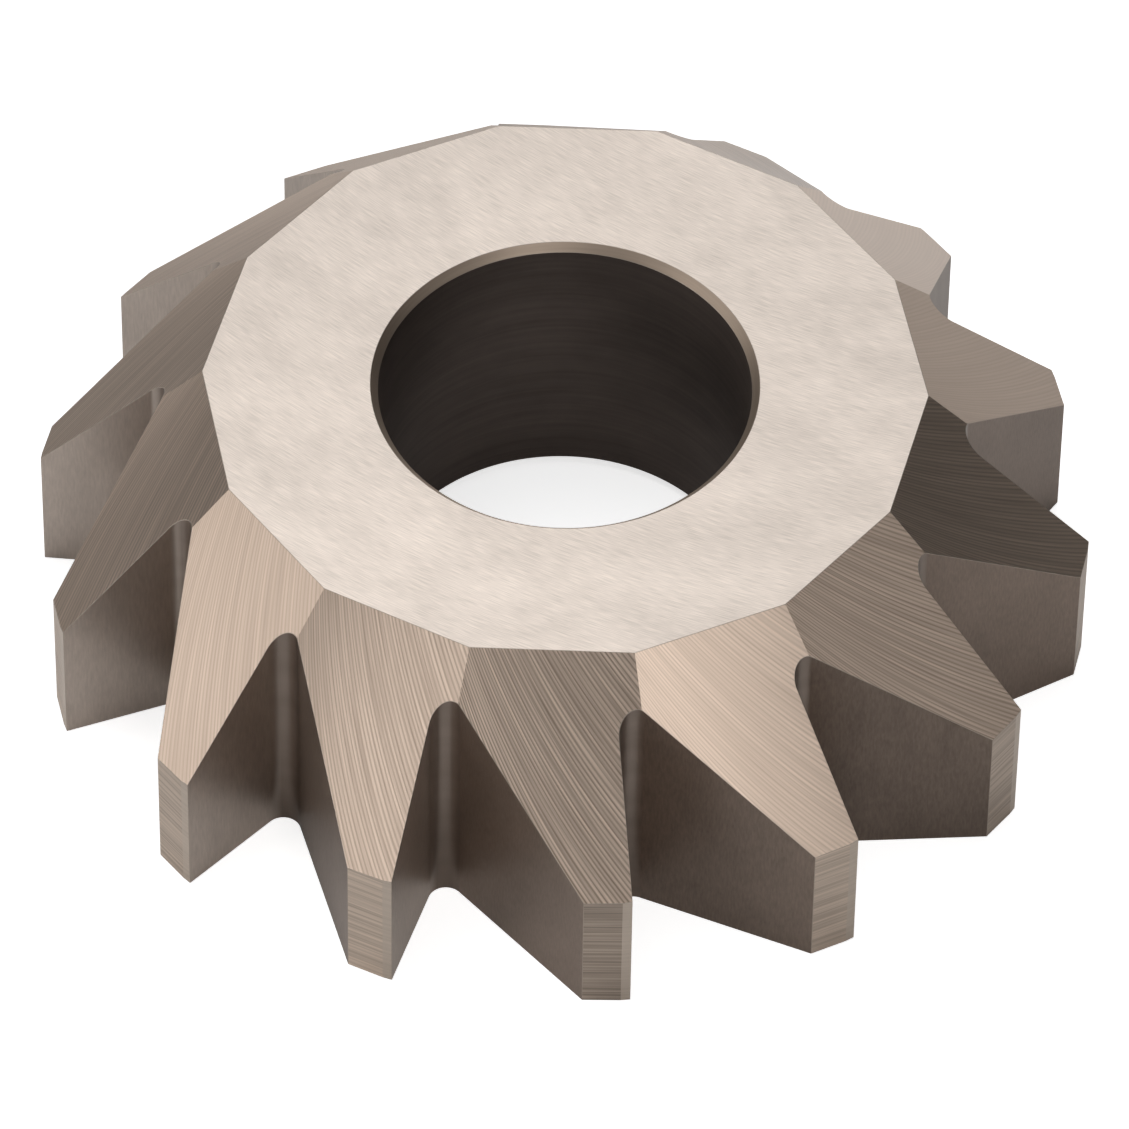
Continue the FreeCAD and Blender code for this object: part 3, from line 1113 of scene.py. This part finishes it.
@dataclass(frozen=True)
class SoftLamp:
    """A square soft box that faces the cutter, placed by its direction from it.

    Attributes:
        name: The lamp's name.
        azimuth: Its turn about the bore from the front, in degrees.
        elevation: Its height above the floor, in degrees.
        size: The length of its side, in metres.
        power: Its power, in watts.
        distance: How far it stands from the cutter, in metres.
    """

    name: str
    azimuth: float
    elevation: float
    size: float
    power: float
    distance: float = 0.7

    def build(self) -> bpy.types.Object:
        """Adds the lamp.

        Returns:
            The lamp.
        """
        azimuth, elevation = math.radians(self.azimuth), math.radians(self.elevation)
        front = Vector((0, -math.cos(elevation), math.sin(elevation)))
        towards = Matrix.Rotation(azimuth, 3, "Z") @ front
        data = bpy.data.lights.new(self.name, "AREA")
        data.shape = "SQUARE"
        data.size = self.size
        data.energy = self.power
        lamp = bpy.data.objects.new(self.name, data)
        bpy.context.scene.collection.objects.link(lamp)
        lamp.location = towards * self.distance
        lamp.rotation_euler = towards.to_track_quat("Z", "Y").to_euler()
        log.info("%s: %.2f W", self.name, self.power)
        return lamp


LAMPS = (
    SoftLamp("overhead_box", azimuth=-120, elevation=77, size=0.50, power=1.98),
    SoftLamp("rear_left_box", azimuth=-150, elevation=60, size=0.32, power=0.38),
    SoftLamp("low_rear_box", azimuth=180, elevation=12, size=0.22, power=1.23),
    SoftLamp("low_side_box", azimuth=-90, elevation=12, size=0.22, power=0.65),
    SoftLamp("low_left_box", azimuth=-60, elevation=12, size=0.22, power=1.31),
    SoftLamp("low_front_box", azimuth=20, elevation=25, size=0.24, power=1.08),
    SoftLamp("right_front_box", azimuth=30, elevation=42, size=0.28, power=0.46),
    SoftLamp("right_box", azimuth=80, elevation=25, size=0.24, power=0.22),
)


@dataclass(frozen=True)
class Studio:
    """The plain pale floor, the white of the room behind it and the soft boxes.

    Attributes:
        floor_size: The side of the floor, in metres.
        floor_drop: How far the floor lies under the cutter, in metres.
        floor_paint: The floor's paint, which takes the light and the shadow.
        camera_lift: The white that the camera sees in the floor besides.
        mirror_lift: The white that the steel reflects from the floor besides.
        room_light: The even light of the room.
    """

    floor_size: float = 1.2
    floor_drop: float = 0.00002
    floor_paint: float = 0.85
    camera_lift: float = 0.72
    mirror_lift: float = 0.02
    room_light: float = 0.02

    def seen_share(self, graph: Graph, straight: float, mirrored: float, other: float) -> Socket:
        """Adds nodes that give one value to the camera's rays and others to the rest.

        Args:
            graph: The material or world that the nodes go into.
            straight: The value for rays straight from the camera.
            mirrored: The value for rays by way of gloss or glass.
            other: The value for all other rays.

        Returns:
            The value for the ray at hand.
        """
        path = graph.nodes.new("ShaderNodeLightPath")
        glossy, passed = path.outputs["Is Glossy Ray"], path.outputs["Is Transmission Ray"]
        indirect = graph.math("MAXIMUM", glossy, passed)
        part = graph.math("MULTIPLY_ADD", indirect, mirrored - other, other)
        return graph.math("MULTIPLY_ADD", path.outputs["Is Camera Ray"], straight - other, part)

    def lay_floor(self) -> bpy.types.Object:
        """Lays the floor just under the cutter.

        Returns:
            The floor.
        """
        deselect_all()
        bpy.ops.mesh.primitive_plane_add(size=self.floor_size, location=(0, 0, -self.floor_drop))
        floor = bpy.context.object
        floor.name = "studio_floor"
        paint = Paint("pale_floor")
        shader = paint.shader
        shader.inputs["Base Color"].default_value = (self.floor_paint,) * 3 + (1.0,)
        shader.inputs["Roughness"].default_value = 1.0
        shader.inputs["Specular IOR Level"].default_value = 0.0
        shader.inputs["Emission Color"].default_value = WHITE
        lift = self.seen_share(paint, self.camera_lift, self.mirror_lift, 0.0)
        paint.put(shader.inputs["Emission Strength"], lift)
        floor.data.materials.append(paint.material)
        log.info("%s: %.1f m across", floor.name, self.floor_size)
        return floor

    def light_room(self) -> None:
        """Lights the room evenly, and shows the camera white beyond the floor."""
        world = bpy.data.worlds.new("studio_room")
        bpy.context.scene.world = world
        world.use_nodes = True
        graph = Graph(world.node_tree)
        background = graph.nodes["Background"]
        background.inputs["Color"].default_value = WHITE
        light = self.seen_share(graph, 1.0, self.room_light, self.room_light)
        graph.put(background.inputs["Strength"], light)

    def build(self) -> None:
        """Sets up the floor, the room and the lamps."""
        self.lay_floor()
        self.light_room()
        for lamp in LAMPS:
            lamp.build()
        bpy.context.scene.view_settings.view_transform = "Standard"


def main() -> None:
    """Builds the cutter, the camera and the studio in order."""
    logging.basicConfig(level=logging.INFO, format="%(name)s: %(message)s")
    PhotoCamera().build()
    _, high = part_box("reamer_cutter")
    cutter = ReamerCutter(
        cutting_radius=high.x / MM, height=high.z / MM, bore_radius=bore_radius_of(frame["record"])
    )
    cutter.build()
    Studio().build()


if __name__ == "__main__":
    main()
